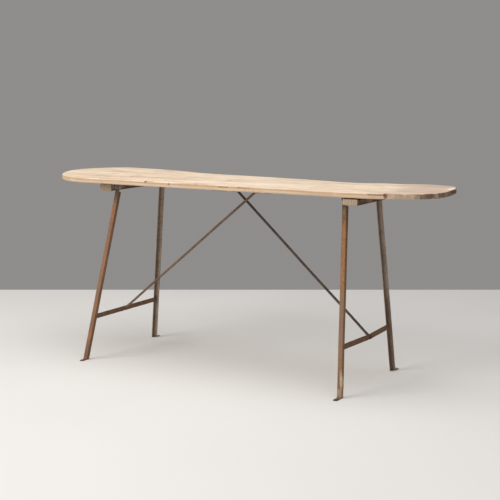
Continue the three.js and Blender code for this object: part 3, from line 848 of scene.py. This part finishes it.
def leg_piece(key, place, material, draw):
    """Leg from its toe, bent outward on the floor, up to the tongue round the hinge bolt."""
    node = f"{key}_{place}_leg"
    side = SIDES[place]
    across = -side
    hinge = Vector(JOINT_PLACES[f"{key}_trestle_fold"])
    corners = corners_of(node)
    low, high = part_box(node)
    foot = [c for c in corners if c.z < 0.5 * MM]
    heel_x = max(c.x * across for c in foot) * across
    width = max(c.x for c in foot) - min(c.x for c in foot)
    inner_y = min(c.y * side for c in foot) * side
    top_y = [c.y for c in corners if c.z > hinge.z]
    heel, tip = ANGLE.heel_from_axis, ANGLE.heel_from_axis - width
    half = ANGLE.thickness / 2
    flange = width - half
    foot_point = Vector((heel_x - across * heel, inner_y + side * flange, 0))
    hinge_point = Vector((hinge.x, sum(top_y) / len(top_y), hinge.z))
    toe_end = low.y if side < 0 else high.y
    seed = draw.uniform(0, 90)
    outward = Vector((0, side, 0))
    up = Vector((0, 0, 1))
    flat = half + 0.02 * MM

    def axis_at(z):
        point = foot_point.lerp(hinge_point, z / hinge.z)
        free = smooth(z, 0.0, 0.06) * smooth(z, hinge.z - 0.02, hinge.z - 0.08)
        point.x += ANGLE.bow * free * waver((0, 0, z), 5.0, seed)
        point.y += ANGLE.bow * free * waver((0, z, 0), 5.0, seed + 4)
        return point

    bend_top = ANGLE.bend + half
    bend_foot = axis_at(bend_top)
    rings = []
    toe_start = bend_foot.y + side * ANGLE.bend
    # The toe, with its end corners rounded off.
    for y in spaced(toe_end, toe_start, 3 * MM):
        cut = corner_cut(ANGLE.toe_corner, abs(y - toe_end))
        centre = Vector((bend_foot.x, y, half))
        ring = angle_ring(centre, across, up, tip + cut, heel - cut, flat)
        rings.append([Vector((point.x, point.y, max(point.z, 0.0))) for point in ring])
    # The bend up from the floor.
    for step in range(5, -1, -1):
        angle = math.pi / 2 * step / 6
        inward = -outward * math.cos(angle) + up * math.sin(angle)
        centre = Vector((bend_foot.x, toe_start, bend_top)) - outward * ANGLE.bend * math.cos(angle)
        centre.z -= ANGLE.bend * math.sin(angle)
        rings.append(angle_ring(centre, across, inward, tip, heel, flat))
    # The shaft, where the flange stands between its two ends, and the tongue.
    flange_top = hinge.z - ANGLE.flange_stop
    heights = spaced(bend_top + 1 * MM, flange_top - 8 * MM, ANGLE.step)
    heights += spaced(heights[-1], hinge.z + ANGLE.tongue * 0.98, ANGLE.step / 3)[1:]
    for z in heights:
        depth = blend(flat, flange, smooth(z, bend_top, bend_top + 5 * MM))
        depth = blend(depth, flat, smooth(z, flange_top - 5 * MM, flange_top))
        narrow = smooth(z, hinge.z - ANGLE.neck, hinge.z - ANGLE.neck / 2)
        left = blend(tip, -ANGLE.tongue, narrow)
        right = blend(heel, ANGLE.tongue, smooth(z, flange_top, hinge.z - ANGLE.tongue))
        if z > hinge.z:
            reach = math.sqrt(max(0.0, ANGLE.tongue ** 2 - (z - hinge.z) ** 2))
            left, right = -reach, reach
        rings.append(angle_ring(axis_at(z), across, -outward, left, right, depth))
    shells = [loft(rings), loft(flange_end(axis_at, across, outward, heel, flange, bend_top))]
    detail(node, shells, material)


def flange_end(axis_at, across, outward, heel, flange, bend_top):
    """The flange runs on down to the floor beside the bent toe."""
    rings = []
    for z in (0.4 * MM, 1.2 * MM, bend_top / 2, bend_top, bend_top + 8 * MM):
        worn = 1.5 * MM * (1 - smooth(z, 0.0, 1.3 * MM))
        corners = [
            (heel - 0.06 * MM, -ANGLE.thickness / 3, 0.6 * MM),
            (heel - 0.06 * MM, flange - 0.1 * MM - worn, 0.8 * MM),
            (heel - ANGLE.thickness + 0.06 * MM, flange - 0.1 * MM - worn, 1.2 * MM),
            (heel - ANGLE.thickness + 0.06 * MM, -ANGLE.thickness / 3, 0.4 * MM),
        ]
        rings.append([
            axis_at(z) + Vector((across * along, 0, 0)) - outward * deep
            for along, deep in rounded(corners)
        ])
    return rings


class BAR:
    """Flat bar of the crossbars, forged to a round neck where a brace turns on it. neck_end and
    forged_end are measured from the middle of the neck, straight_end from the end of the bar."""
    half_thickness = 2.0 * MM
    neck_radius = 4.5 * MM
    arris = 0.9 * MM
    neck_arris = 4.0 * MM
    neck_end = 6 * MM
    forged_end = 17 * MM
    shoulder = 0.6 * MM
    straight_end = 22 * MM
    step = 4 * MM


def crossbar_piece(key, material):
    node = f"{key}_crossbar"
    low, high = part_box(node)
    pivot = Vector(JOINT_PLACES[f"{key}_brace_turn"])
    hinge = Vector(JOINT_PLACES[f"{key}_trestle_fold"])
    corners = corners_of(node)
    ends = [c for c in corners if c.y < low.y + 1 * MM]
    end_x = sum(c.x for c in ends) / len(ends)
    leaning = (hinge.x - end_x) / (hinge.z - pivot.z)
    half_height = (high.z - low.z) / 2
    neck_y = eye_centre(key).y

    def bar_x(y):
        reach = high.y - BAR.straight_end if y > neck_y else -low.y - BAR.straight_end
        return blend(pivot.x, end_x, min(1.0, abs(y - neck_y) / (reach - abs(neck_y))))

    rings = []
    for y in spaced(low.y, high.y, BAR.step):
        off_neck = abs(y - neck_y)
        forged = 1 - smooth(off_neck, BAR.neck_end, BAR.forged_end)
        shoulder = smooth(off_neck, 10 * MM, 16 * MM) * (1 - smooth(off_neck, 18 * MM, 34 * MM))
        half_x = blend(BAR.half_thickness, BAR.neck_radius, forged)
        half_z = blend(half_height, BAR.neck_radius, forged) + BAR.shoulder * shoulder
        radius = blend(BAR.arris, BAR.neck_arris, forged)
        centre_x = sum(bar_x(y + shift * MM) for shift in (-9, -3, 3, 9)) / 4
        ring = []
        for across, up in rectangle(-half_x, half_x, half_z, radius, 4):
            point = Vector((centre_x + across + leaning * up * (1 - forged), y, pivot.z + up))
            point.x += 0.15 * MM * waver(point, 140.0)
            point.z += 0.35 * MM * waver((0, y, up), 30.0) + 0.12 * MM * waver(point, 150.0, 5.0)
            ring.append(point)
        rings.append(ring)
    detail(node, [loft(rings)], material)


# -------- braces

class ROD:
    """Round rod of the braces: an eye at its foot, and at its head a thinner hook bent to the catch."""
    radius = 5.2 * MM
    prong = 3.0 * MM
    eye_inner = 5.0 * MM
    eye_outer = 10.5 * MM
    eye_width = 11 * MM
    bend = 5.5 * MM
    tip_inset = 6.0 * MM
    tip_drop = 5.4 * MM
    flat_half_width = 6.0 * MM
    flat_half_depth = 4.6 * MM
    flat_end = 30 * MM
    sag = 1.2 * MM
    sway = 0.5 * MM
    step = 7 * MM
    eye_steps = 32


def eye_centre(key):
    """Middle of the brace's eye: the pivot, half an eye's width in from the brace's outer face."""
    low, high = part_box(f"{key}_brace")
    pivot = Vector(JOINT_PLACES[f"{key}_brace_turn"])
    pivot.y = low.y + ROD.eye_width / 2 if OUTWARD[key] < 0 else high.y - ROD.eye_width / 2
    return pivot


def sweep(path, sizes, steps=12):
    """Closed tube along a path, each place with its own two half widths, capped at both ends."""
    rings = []
    side = None
    for index, place in enumerate(path):
        ahead = (path[min(index + 1, len(path) - 1)] - path[max(index - 1, 0)]).normalized()
        if side is None:
            side = ahead.cross(Vector((0, 1, 0))).normalized()
        side = (side - ahead * side.dot(ahead)).normalized()
        across = ahead.cross(side)
        wide, deep = sizes[index]
        ring = []
        for step in range(steps):
            angle = 2 * math.pi * step / steps
            ring.append(place + side * wide * math.cos(angle) + across * deep * math.sin(angle))
        rings.append(ring)
    return loft(rings)


def brace_piece(key, material, draw):
    """Rod from its eye up to its bend, and the hook that lies in the catch."""
    node = f"{key}_brace"
    eye = eye_centre(key)
    low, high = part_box(node)
    to_catch = -OUTWARD[key]
    prong_end = high.y if to_catch > 0 else low.y
    tip_x = high.x if to_catch > 0 else low.x
    tip = Vector((tip_x - to_catch * ROD.tip_inset, eye.y, high.z - ROD.tip_drop))
    run = (tip - eye).normalized()
    seed = draw.uniform(0, 40)
    length = (tip - eye).length
    path, sizes = [], []
    for along in spaced(ROD.eye_inner + 1.5 * MM, length - ROD.bend, ROD.step):
        free = smooth(along, 0.0, 0.08) * smooth(along, length, length - 0.08)
        sag = ROD.sag * free * waver((along, 0, 0), 4.0, seed)
        sway = ROD.sway * free * waver((0, along, 0), 5.0, seed)
        path.append(eye + run * along + Vector((-run.z, 0, run.x)) * sag + Vector((0, sway, 0)))
        flat = 1 - smooth(along, ROD.eye_outer, ROD.flat_end)
        worn = 0.12 * MM * waver((along, 0, 0), 60.0, seed)
        wide = blend(ROD.radius, ROD.flat_half_width, flat)
        deep = blend(ROD.radius, ROD.flat_half_depth, flat)
        sizes.append((wide + worn, deep + worn))
    hook = Vector((0, to_catch, 0))
    start, end = tip - run * ROD.bend, tip + hook * ROD.bend
    for step in range(1, 7):
        share = step / 6
        path.append(start * (1 - share) ** 2 + tip * 2 * share * (1 - share) + end * share ** 2)
        sizes.append((blend(ROD.radius, ROD.prong, share),) * 2)
    for y in spaced(end.y, prong_end, 1.5 * MM)[1:]:
        path.append(Vector((tip.x, y, tip.z)))
        blunt = ROD.prong * (1 - 0.35 * smooth(abs(y - prong_end), 2 * MM, 0.0))
        sizes.append((blunt, blunt))
    detail(node, [eye_shell(eye, seed), sweep(path, sizes)], material)


def eye_shell(eye, seed):
    """Forged ring that turns on the crossbar's neck."""
    half = ROD.eye_width / 2
    soft = 1.2 * MM
    profile = rectangle(ROD.eye_inner, ROD.eye_outer, half, soft)
    points, faces = [], []
    count = len(profile)
    for step in range(ROD.eye_steps):
        angle = 2 * math.pi * step / ROD.eye_steps
        for radius, along in profile:
            spread = radius + 0.15 * MM * waver((math.cos(angle), math.sin(angle), along * 40), 2.0, seed)
            points.append(eye + Vector((spread * math.cos(angle), along, spread * math.sin(angle))))
        here, following = step * count, (step + 1) % ROD.eye_steps * count
        for corner in range(count):
            after = (corner + 1) % count
            faces.append((here + corner, here + after, following + after, following + corner))
    return points, faces


# -------- fastenings

class PIN:
    """Round fastenings. Their lengths, and the heads of screws and bolts, come from the frame."""
    bolt_shank = 3.0 * MM
    rivet_shank = 2.5 * MM
    rivet_dome = 3.0 * MM
    screw_shank_share = 0.46


def pin_of(node):
    """Seat, direction into the work, length, head radius and dome height of a round pin in the frame."""
    low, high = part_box(node)
    centre = (low + high) / 2
    spans = high - low
    axis = max(range(3), key=lambda index: spans[index])
    others = [index for index in range(3) if index != axis]

    def from_axis(corner):
        return math.hypot(*(corner[index] - centre[index] for index in others))

    corners = corners_of(node)
    head = max(from_axis(c) for c in corners)
    rims = [c[axis] for c in corners if from_axis(c) > head * 0.98]
    seat = centre.copy()
    seat[axis] = sum(rims) / len(rims)
    far = low[axis] if abs(low[axis] - seat[axis]) > abs(high[axis] - seat[axis]) else high[axis]
    direction = Vector((0, 0, 0))
    direction[axis] = math.copysign(1, far - seat[axis])
    dome = min(abs(low[axis] - seat[axis]), abs(high[axis] - seat[axis]))
    return seat, direction, abs(far - seat[axis]), head, dome


def slotted_head(seat, outward, radius, dome, turn):
    """Domed disc with a screwdriver slot, lofted across the slot."""
    slot_half, slot_floor = radius * 0.14, dome * 0.30
    first = outward.orthogonal().normalized()
    second = outward.cross(first)
    across = first * math.cos(turn) + second * math.sin(turn)
    along = outward.cross(across)
    domed = [radius * math.sin(math.pi / 2 * step / 7) for step in range(-7, 8) if step]
    places = [(place, False) for place in domed if abs(place) > slot_half * 1.3]
    places += [(place, False) for place in (-slot_half * 1.02, slot_half * 1.02)]
    places += [(place, True) for place in (-slot_half, 0.0, slot_half)]
    rings = []
    for place, in_slot in sorted(places):
        reach = math.sqrt(max((0.03 * radius) ** 2, radius ** 2 - place ** 2))
        ring = []
        for step in range(9):
            share = math.sin(math.pi / 2 * (step - 4) / 4)
            left = max(0.0, 1 - (place ** 2 + (reach * share) ** 2) / radius ** 2)
            height = 0.25 * MM + dome * math.sqrt(left)
            height = min(height, slot_floor) if in_slot else height
            ring.append(seat + across * place + along * reach * share + outward * height)
        ring += [seat + across * place - along * reach * share for share in (-1, -0.5, 0, 0.5, 1)]
        rings.append(ring)
    return loft(rings)


def screw_piece(node, material, draw):
    seat, direction, length, head, dome = pin_of(node)
    shank = head * PIN.screw_shank_share
    shells = [
        slotted_head(seat, -direction, head, dome, draw.uniform(0, math.pi)),
        turned([(0, 0.05 * MM), (shank, 0.05 * MM), (shank, length * 0.8), (0, length)], seat, direction, 14),
    ]
    detail(node, shells, material)


def hammered_head(head, dome):
    """Half profile of a domed head with a small flat from the hammer, from its crown to its rim."""
    crown = [(0.0, dome * 0.96), (head * 0.22, dome * 0.95)]
    arc = [(head * math.sin(math.pi / 2 * t / 5), dome * math.cos(math.pi / 2 * t / 5)) for t in range(1, 6)]
    return [(radius, -height) for radius, height in crown + arc[1:] + [(head * 0.98, -0.2 * MM)]]


def bolt_piece(node, material):
    seat, direction, length, head, dome = pin_of(node)
    shank = PIN.bolt_shank
    profile = hammered_head(head, dome)
    profile += [(shank, 0.2 * MM), (shank, length - 1.2 * MM), (shank * 0.7, length - 0.3 * MM), (0, length)]
    detail(node, [turned(profile, seat, direction, 24)], material)


def rivet_piece(node, material):
    low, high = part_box(node)
    centre = (low + high) / 2
    spans = high - low
    shank, dome = PIN.rivet_shank, PIN.rivet_dome
    grip = spans.x - 2 * dome
    first = hammered_head(spans.y / 2, dome)
    second = [(radius, grip - along) for radius, along in first]
    profile = first + [(shank, 0.2 * MM), (shank, grip - 0.2 * MM)] + second[::-1]
    seat = Vector((low.x + dome, centre.y, centre.z))
    detail(node, [turned(profile, seat, (1, 0, 0), 20)], material)


# -------- assembly

def keep_node(node, material, softness):
    """Keeps a CAD node, with blunted edges and a better material."""
    kept = frame["nodes"][node]
    kept.material_slots[0].material = material
    bevel = kept.modifiers.new("blunt", "BEVEL")
    bevel.width = softness
    bevel.segments = 2
    bevel.limit_method = "ANGLE"
    bevel.angle_limit = math.radians(30)


def build_table():
    draw = random.Random(11)
    board_piece(board_finish())
    cleat_wood_and_shade = cleat_finish()
    leg_rusts = {
        "front": rust_finish("leg_rust_front", FRONT_LEG_MARKS, shade_on_sides=0.30),
        "rear": rust_finish("leg_rust_rear", REAR_LEG_MARKS, shade_on_sides=0.60),
    }
    bar_rust = rust_finish("crossbar_rust", CROSSBAR_MARKS)
    bracket_rust = rust_finish("bracket_rust")
    fastener_rust = rust_finish("fastener_rust")
    for key in ("left", "right"):
        cleat_piece(key, cleat_wood_and_shade, draw)
        crossbar_piece(key, bar_rust)
        brace_piece(key, rust_finish(f"{key}_brace_rust"), draw)
        keep_node(f"{key}_catch", bracket_rust, 0.5 * MM)
        for number in (1, 2):
            screw_piece(f"{key}_catch_screw_{number}", fastener_rust, draw)
        for place in SIDES:
            label = f"{key}_{place}"
            leg_piece(key, place, leg_rusts[place], draw)
            rivet_piece(f"{label}_crossbar_rivet", fastener_rust)
            keep_node(f"{label}_hinge_bracket", bracket_rust, 0.6 * MM)
            keep_node(f"{label}_hinge_nut", fastener_rust, 0.6 * MM)
            bolt_piece(f"{label}_hinge_bolt", fastener_rust)
            for number in (1, 2):
                screw_piece(f"{label}_bracket_screw_{number}", fastener_rust, draw)
            screw_piece(f"{label}_cleat_screw", fastener_rust, draw)


# -------- stage

def add_camera():
    data = bpy.data.cameras.new("camera")
    data.lens = CAMERA_LENS
    data.sensor_width = 36.0
    camera = bpy.data.objects.new("camera", data)
    SCENE.collection.objects.link(camera)
    camera.location = CAMERA_PLACE
    camera.rotation_euler = (math.pi / 2 - CAMERA_ELEVATION, 0, CAMERA_AZIMUTH)
    SCENE.camera = camera


def add_floor():
    """Pale floor that ends in a straight edge behind the table, square to the view."""
    ahead = Vector((-math.sin(CAMERA_AZIMUTH), math.cos(CAMERA_AZIMUTH), 0))
    right = Vector((ahead.y, -ahead.x, 0))
    ground = Vector((CAMERA_PLACE.x, CAMERA_PLACE.y, 0))
    far = ground + ahead * FLOOR_FAR_EDGE
    near = far - ahead * FLOOR_DEPTH
    corners = [
        near - right * FLOOR_HALF_WIDTH, near + right * FLOOR_HALF_WIDTH,
        far + right * FLOOR_HALF_WIDTH, far - right * FLOOR_HALF_WIDTH,
    ]
    mesh = bpy.data.meshes.new("floor")
    mesh.from_pydata([tuple(corner) for corner in corners], [], [(0, 1, 2, 3)])
    mesh.materials.append(floor_finish())
    floor = bpy.data.objects.new("floor", mesh)
    SCENE.collection.objects.link(floor)


def add_area_light(name, place, target, size, power, colour):
    data = bpy.data.lights.new(name, "AREA")
    data.shape = "SQUARE"
    data.size = size
    data.energy = power
    data.color = colour
    light = bpy.data.objects.new(name, data)
    SCENE.collection.objects.link(light)
    light.location = place
    light.rotation_euler = (Vector(target) - Vector(place)).to_track_quat("-Z", "Y").to_euler()


def add_lights():
    add_area_light("key", (-2.6, -4.6, 4.0), target=(0.1, 0, 0.4), size=3.2, power=235, colour=WARM_WHITE)
    add_area_light("overhead", (0.6, -1.0, 4.6), target=(0.2, 0, 0), size=4.5, power=120, colour=WHITE)
    world = bpy.data.worlds.new("studio")
    SCENE.world = world
    world.use_nodes = True
    background = world.node_tree.nodes["Background"]
    background.inputs["Color"].default_value = opaque(BACKDROP_GREY)
    background.inputs["Strength"].default_value = 1.0


SCENE.view_settings.view_transform = "Standard"
add_camera()
add_floor()
add_lights()
build_table()
